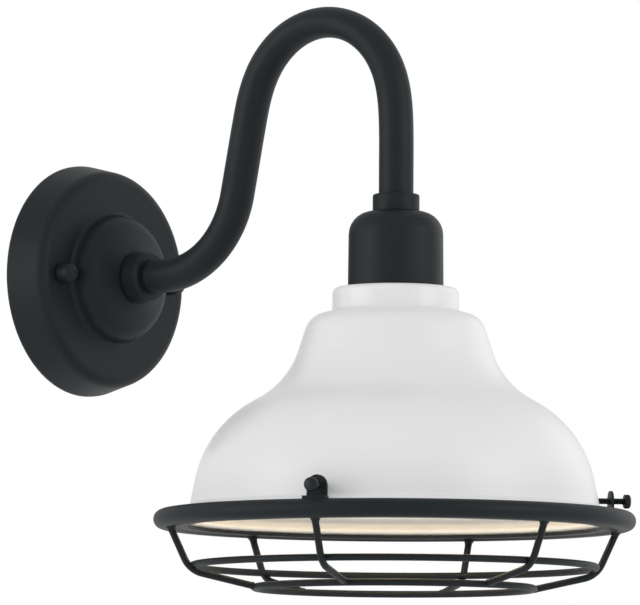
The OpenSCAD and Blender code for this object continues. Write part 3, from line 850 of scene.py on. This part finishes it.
@dataclass
class LampHead:
    """The rolled threads of the bulb's base and of the screw shell around it."""

    palette: Palette
    pitch: float = 3.63
    rows: int = 14
    segments: int = 72
    sheet: float = 0.6
    mouth: float = -33.682
    base_top: float = -11.98
    base_r: float = 13.1
    base_hole_r: float = 8.0
    base_groove: float = 0.6
    base_lead_in: float = 3.0
    base_run_out: float = 2.2
    base_shoulder: Pairs = ((1.4, 0.0), (0.5, 0.35), (0.1, 0.9), (0.0, 1.6))
    base_corner: float = 1.0
    shell_r: float = 13.5
    shell_h: float = 25.0
    shell_groove: float = 0.34
    shell_gap: float = 1.0
    shell_plain: float = 1.0

    def build(self) -> None:
        """Builds both threads."""
        self.build_base()
        self.build_shell()

    def build_base(self) -> None:
        """Builds the bulb's base: a thin cup with a rolled thread."""
        piece = Piece("rolled_bulb_base", Body.BULB, Slot.BULB_SHELL, ("bulb_base",), 50.0)
        low, high = self.mouth + self.base_lead_in, self.base_top - self.base_run_out
        thread = Thread(self.pitch, self.base_groove, low, high, self.rows, True)
        outer, inner, top = self.base_r, self.base_r - self.sheet, self.base_top
        rows = thread.heights()
        profile = [
            (self.base_hole_r, top),
            *((outer - inset, top - drop) for inset, drop in self.base_shoulder),
            *((outer, height) for height in reversed(rows)),
            (outer, self.mouth),
            (inner, self.mouth),
            *((inner, height) for height in rows),
            (inner, top - self.base_shoulder[-1][1]),
            (inner - self.base_corner, top - self.sheet),
            (self.base_hole_r, top - self.sheet),
            (self.base_hole_r, top),
        ]
        thread.turn(piece, profile, self.segments, LAMP_AXIS, inner, outer)
        piece.finish(self.palette)

    def build_shell(self) -> None:
        """Builds the lamp holder's shell with its rolled thread."""
        piece = Piece("rolled_screw_shell", Body.FIXTURE, Slot.BRASS, ("screw_shell",), 50.0)
        low = self.mouth + self.shell_gap
        high = low + self.shell_h
        start, end = low + self.shell_plain, high - self.shell_plain
        thread = Thread(self.pitch, self.shell_groove, start, end, self.rows, True)
        rows = thread.heights()
        inner, outer = self.shell_r, self.shell_r + self.sheet
        profile = [
            (inner, low),
            (outer, low),
            *((outer, height) for height in rows),
            (outer, high),
            (inner, high),
            *((inner, height) for height in reversed(rows)),
            (inner, low),
        ]
        thread.turn(piece, profile, self.segments, LAMP_AXIS, inner, outer)
        piece.finish(self.palette)


@dataclass
class Guard:
    """The wire guard's bent bars and welds, and its thumb screws with their threads."""

    palette: Palette
    first_heading: float = -161.0
    bars: int = 6
    tabs: int = 3
    wire_d: float = 3.7
    wire_sides: int = 24
    bar_top_r: float = 119.1
    mid_ring_r: float = 106.1
    low_ring_r: float = 73.5
    mid_drop: float = 19.4
    low_drop: float = 30.7
    knee_drop: float = 3.3
    knee_r: float = 14.0
    knee_steps: int = 16
    into_rim: float = 0.4
    into_ring: float = 0.35
    rim_weld: Pairs = (
        (1.1, 0.4), (1.15, 0.0), (0.75, -0.35), (0.42, -0.8), (0.2, -1.4), (0.05, -2.1), (-0.3, -2.5)
    )
    touch_weld: Triple = (0.95, 1.75, 1.9)
    end_weld: Triple = (1.15, 2.5, 2.1)
    end_weld_out: float = 0.15
    tab_r: float = 115.4
    tab_t: float = 1.5
    foot_w: float = 12.0
    foot_len: float = 6.8
    front_weld: Pair = (0.75, 0.8)
    front_weld_up: float = 0.15
    side_weld: Triple = (2.9, 0.7, 0.8)
    side_weld_up: float = 0.35
    side_weld_back: float = 3.4
    screw_z: float = 7.0
    screw_tip_r: float = 107.67
    screw_tip: float = 0.55
    screw_d: float = 3.5
    screw_run: float = 6.3
    screw_pitch: float = 0.794
    screw_groove: float = 0.4
    thread_in: float = 0.5
    thread_out: float = 0.2
    head_d: float = 7.4
    head_h: float = 3.4
    head_back: Pairs = ((0.45, 0.0), (0.15, 0.2))
    head_face: Pairs = ((0.25, 0.4), (0.8, 0.0))
    knurl_from: float = 0.5
    knurl_room: float = 1.3
    knurl_depth: float = 0.2
    knurl_rows: int = 4
    ridges: int = 32
    rim_low: float = 0.0
    rim_top: float = 0.0

    def __post_init__(self) -> None:
        """Takes the rim's levels from the solids."""
        low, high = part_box("guard_rim")
        self.rim_low = low.z / MM
        self.rim_top = high.z / MM

    def spoke(self, index: int, count: int) -> Matrix:
        """Returns a spoke's frame, which stands on the lamp's axis with its X axis pointing outwards."""
        heading = math.radians(self.first_heading + 360.0 * index / count)
        return LAMP_AXIS @ Matrix.Rotation(heading, 4, "Z")

    @property
    def lean(self) -> float:
        """Angle in radians at which a bar leans in from the rim to touch the middle ring."""
        inwards, down = self.bar_top_r - self.mid_ring_r, self.mid_drop
        return math.acos(self.wire_d / math.hypot(inwards, down)) - math.atan2(down, inwards)

    @property
    def knee(self) -> Vector:
        """Corner (radius, height) at which a bar's two straight lengths would meet."""
        depth = self.mid_drop + self.knee_drop
        return Vector((self.bar_top_r - depth * math.tan(self.lean), self.rim_low - depth))

    def build(self) -> None:
        """Builds the bars, the welds and the three thumb screws."""
        self.build_bars()
        self.build_rim_welds()
        self.build_ring_welds()
        self.build_tab_welds()
        for index, body in enumerate((Body.SCREW_1, Body.SCREW_2, Body.SCREW_3)):
            self.build_screw(index, body)

    def bar_path(self) -> list[Matrix]:
        """Returns where a wire's circle goes, from inside the rim's sheet to inside the bottom ring."""
        top = Vector((self.bar_top_r, self.rim_low))
        ring = Vector((self.low_ring_r, self.rim_low - self.low_drop))
        down, inwards = (self.knee - top).normalized(), (ring - self.knee).normalized()
        turn = down.angle(inwards)
        start = self.knee - down * self.knee_r * math.tan(turn / 2)
        centre = start + self.knee_r * Vector((down.y, -down.x))
        stations = [(top - down * self.into_rim, down)]
        for step in range(self.knee_steps + 1):
            spin = Matrix.Rotation(-turn * step / self.knee_steps, 2)
            stations.append((centre + spin @ (start - centre), spin @ down))
        stations.append((ring - inwards * self.wire_d * self.into_ring, inwards))
        return [
            Matrix.Translation((point.x, 0.0, point.y)) @ Matrix.Rotation(math.atan2(way.x, way.y), 4, "Y")
            for point, way in stations
        ]

    def build_bars(self) -> None:
        """Builds the six bars, each bent round a former at its knee."""
        nodes = tuple(f"guard_bar_{index + 1}" for index in range(self.bars))
        piece = Piece("bent_bars", Body.GUARD, Slot.POWDER, nodes)
        path = self.bar_path()
        for index in range(self.bars):
            places = [self.spoke(index, self.bars) @ place for place in path]
            first, last = piece.sweep(places, self.wire_d / 2, self.wire_sides)
            bmesh.ops.edgeloop_fill(piece.mesh, edges=first + last)
        piece.finish(self.palette)

    def build_rim_welds(self) -> None:
        """Builds the fillet where each bar leaves the rim."""
        piece = Piece("rim_welds", Body.GUARD, Slot.POWDER)
        surface = [(self.wire_d / 2 + beyond, height) for beyond, height in self.rim_weld]
        profile = [(0.0, surface[0][1]), *surface, (0.0, surface[-1][1])]
        shear = Matrix.Identity(4)
        shear[0][2] = math.tan(self.lean)
        top = Matrix.Translation((self.bar_top_r, 0.0, self.rim_low))
        for index in range(self.bars):
            made = piece.lathe(profile, 28)
            roughen(made, amount=0.22, grain=0.9, seed=index)
            piece.move(made, self.spoke(index, self.bars) @ top @ shear)
        piece.finish(self.palette)

    def build_ring_welds(self) -> None:
        """Builds the weld where each bar touches the middle ring and where it ends on the bottom ring."""
        piece = Piece("ring_welds", Body.GUARD, Slot.POWDER)
        lean, wire = self.lean, self.wire_d / 2
        mid_z, low_z = self.rim_low - self.mid_drop, self.rim_low - self.low_drop
        fall = math.atan2(self.knee.y - low_z, self.knee.x - self.low_ring_r)
        out = wire + self.end_weld_out
        touch_at = (self.mid_ring_r + wire * math.cos(lean), 0.0, mid_z - wire * math.sin(lean))
        end_at = (self.low_ring_r + out * math.cos(fall), 0.0, low_z + out * math.sin(fall))
        touch = Matrix.Translation(touch_at) @ Matrix.Rotation(lean, 4, "Y")
        end = Matrix.Translation(end_at) @ Matrix.Rotation(-fall, 4, "Y")
        for index in range(self.bars):
            for place, size in ((touch, self.touch_weld), (end, self.end_weld)):
                made = piece.bead(size, 3, amount=0.2, grain=0.8, seed=index)
                piece.move(made, self.spoke(index, self.bars) @ place)
        piece.finish(self.palette)

    def build_tab_welds(self) -> None:
        """Builds the bead along the front and both sides of each tab's foot."""
        piece = Piece("tab_welds", Body.GUARD, Slot.POWDER)
        front, half = self.tab_r + self.foot_len, self.foot_w / 2
        wide, high = self.front_weld
        back = front - self.side_weld_back
        beads = [((front, 0.0, self.front_weld_up), (wide, half, high))]
        beads += [((back, side, self.side_weld_up), self.side_weld) for side in (half, -half)]
        for index in range(self.tabs):
            for (outwards, across, above), size in beads:
                made = piece.bead(size, 4, amount=0.14, grain=1.1, seed=index)
                place = Matrix.Translation((outwards, across, self.rim_top + above))
                piece.move(made, self.spoke(index, self.tabs) @ place)
        piece.finish(self.palette)

    def build_screw(self, index: int, body: Body) -> None:
        """Builds one thumb screw, on its own body, with its thread and the knurl round its head."""
        node = f"thumb_screw_{index + 1}"
        piece = Piece(f"knurled_{node}", body, Slot.SCREW, (node,), 55.0)
        radius, head_r = self.screw_d / 2, self.head_d / 2
        head = self.tab_r + self.tab_t + self.screw_run
        face = head + self.head_h
        start, end = self.screw_tip_r + self.thread_in, head - self.thread_out
        thread = Thread(self.screw_pitch, self.screw_groove, start, end, rows=6)
        row = (self.head_h - self.knurl_room) / self.knurl_rows
        profile = [
            (0.0, self.screw_tip_r),
            (radius - self.screw_tip, self.screw_tip_r),
            *((radius, height) for height in thread.heights()),
            (radius, head),
            *((head_r - inset, head + rise) for inset, rise in self.head_back),
            *((head_r, head + self.knurl_from + row * i) for i in range(self.knurl_rows + 1)),
            *((head_r - inset, face - drop) for inset, drop in self.head_face),
            (0.0, face),
        ]
        made = piece.lathe(profile, 4 * self.ridges)
        thread.apply(made, radius)
        for vert in made:
            if lies_on(vert, head_r):
                phase = (math.atan2(vert.co.y, vert.co.x) / math.tau * self.ridges) % 1.0
                press(vert, self.knurl_depth * (1 - abs(2 * phase - 1)))
        level = Matrix.Translation((0.0, 0.0, self.rim_top + self.screw_z))
        sideways = Matrix.Rotation(math.radians(90.0), 4, "Y")
        piece.move(made, self.spoke(index, self.tabs) @ level @ sideways)
        piece.finish(self.palette)


# The studio.


def set_world() -> None:
    """Lights the scene evenly, in front of a backdrop that a camera sees as plain white."""
    world = bpy.data.worlds.new("studio")
    bpy.context.scene.world = world
    world.use_nodes = True
    studio = NodeTree(world.node_tree)
    lighting = studio.tree.nodes["Background"]
    fill(lighting, {"Color": WHITE, "Strength": 0.7})
    shown = studio.add("Background", {"Color": WHITE, "Strength": 1.0})
    path = studio.add("LightPath")
    seen = studio.add("Math", operation="MAXIMUM")
    mix = studio.add("MixShader")
    studio.wire(
        (path, "Is Camera Ray", seen, 0),
        (path, "Is Transmission Ray", seen, 1),
        (seen, 0, mix, 0),
        (lighting, 0, mix, 1),
        (shown, 0, mix, 2),
        (mix, 0, studio.tree.nodes["World Output"], "Surface"),
    )


def floor_paint() -> Material:
    """Returns pale paint that runs out into the white backdrop, and is open from beneath."""
    paint = Shader("floor_paint", (0.93, 0.93, 0.93), 0.9)
    far = paint.add("VectorMath", operation="LENGTH")
    reach = {"From Min": 0.9, "From Max": 2.6}
    fade = paint.add("MapRange", reach, interpolation_type="SMOOTHSTEP")
    path = paint.add("LightPath")
    share = paint.add("Math", operation="MULTIPLY")
    backdrop = paint.add("Emission", {"Color": WHITE})
    ahead = paint.add("MixShader")
    side = paint.add("NewGeometry")
    beneath = paint.add("BsdfTransparent")
    both = paint.add("MixShader")
    paint.wire(
        (paint.coords, "Object", far, 0),
        (far, "Value", fade, "Value"),
        (fade, 0, share, 0),
        (path, "Is Camera Ray", share, 1),
        (share, 0, ahead, 0),
        (paint.surface, 0, ahead, 1),
        (backdrop, 0, ahead, 2),
        (side, "Backfacing", both, 0),
        (ahead, 0, both, 1),
        (beneath, 0, both, 2),
        (both, 0, paint.tree.nodes["Material Output"], "Surface"),
    )
    return paint.material


def add_floor(level: float = -0.62, half_width: float = 12.0) -> None:
    """Lays the square floor at a level."""
    plane = bmesh.new()
    bmesh.ops.create_grid(plane, x_segments=2, y_segments=2, size=half_width)
    bmesh.ops.translate(plane, vec=(0.0, 0.0, level), verts=plane.verts[:])
    data = bpy.data.meshes.new("studio_floor")
    plane.to_mesh(data)
    plane.free()
    floor = bpy.data.objects.new("studio_floor", data)
    bpy.context.scene.collection.objects.link(floor)
    data.materials.append(floor_paint())


@dataclass(frozen=True)
class Softbox:
    """A square softbox that no camera sees: its name, place, side and power in watts."""

    name: str
    place: Triple
    size: float
    power: float
    aim: Triple = (0.0, -0.17, -0.05)

    def build(self) -> None:
        """Hangs the softbox and turns it to what it points at."""
        lamp = bpy.data.lights.new(self.name, "AREA")
        lamp.shape = "SQUARE"
        lamp.size = self.size
        lamp.energy = self.power
        holder = bpy.data.objects.new(self.name, lamp)
        holder.location = self.place
        holder.rotation_mode = "QUATERNION"
        holder.rotation_quaternion = (Vector(self.aim) - Vector(self.place)).to_track_quat("-Z", "Y")
        holder.visible_camera = False
        bpy.context.scene.collection.objects.link(holder)


SOFTBOXES = (
    Softbox("left_softbox", (-2.5, 1.2, 0.4), 2.0, 25.0),
    Softbox("right_softbox", (3.0, -0.7, 0.6), 2.4, 10.5),
    Softbox("front_softbox", (0.5, -3.0, 0.75), 1.8, 22.0),
)


@dataclass(frozen=True)
class Viewpoint:
    """The photograph's camera."""

    place: Triple = (-2.554524, -2.279791, -0.317567)
    right: Triple = (0.636706, -0.771085, 0.005776)
    above: Triple = (-0.072524, -0.052424, 0.995988)
    ahead: Triple = (0.767689, 0.634570, 0.089301)
    focal_px: float = 6241.8
    image_width: int = 640
    sensor_width: float = 36.0

    def build(self) -> None:
        """Makes the camera and gives it to the scene."""
        lens = bpy.data.cameras.new("photo_camera")
        lens.sensor_fit = "HORIZONTAL"
        lens.sensor_width = self.sensor_width
        lens.lens = self.focal_px / self.image_width * self.sensor_width
        lens.clip_start = 0.1
        lens.clip_end = 100.0
        camera = bpy.data.objects.new("photo_camera", lens)
        back = -Vector(self.ahead)
        columns = Matrix((Vector(self.right), Vector(self.above), back)).transposed()
        camera.matrix_world = Matrix.Translation(self.place) @ columns.to_4x4()
        bpy.context.scene.collection.objects.link(camera)
        bpy.context.scene.camera = camera


def main() -> None:
    """Builds the light's pieces, then the camera, the lamps and the floor."""
    logging.basicConfig(level=logging.INFO, format="%(message)s")
    bpy.context.scene.view_settings.view_transform = "Standard"
    Viewpoint().build()
    palette = Palette()
    palette.dress_nodes(frame["record"], frame["nodes"])
    for assembly in (Arm, WallSide, LampHead, Guard):
        LOG.info("building %s", assembly.__name__)
        assembly(palette).build()
    set_world()
    add_floor()
    for softbox in SOFTBOXES:
        softbox.build()


if __name__ == "__main__":
    main()
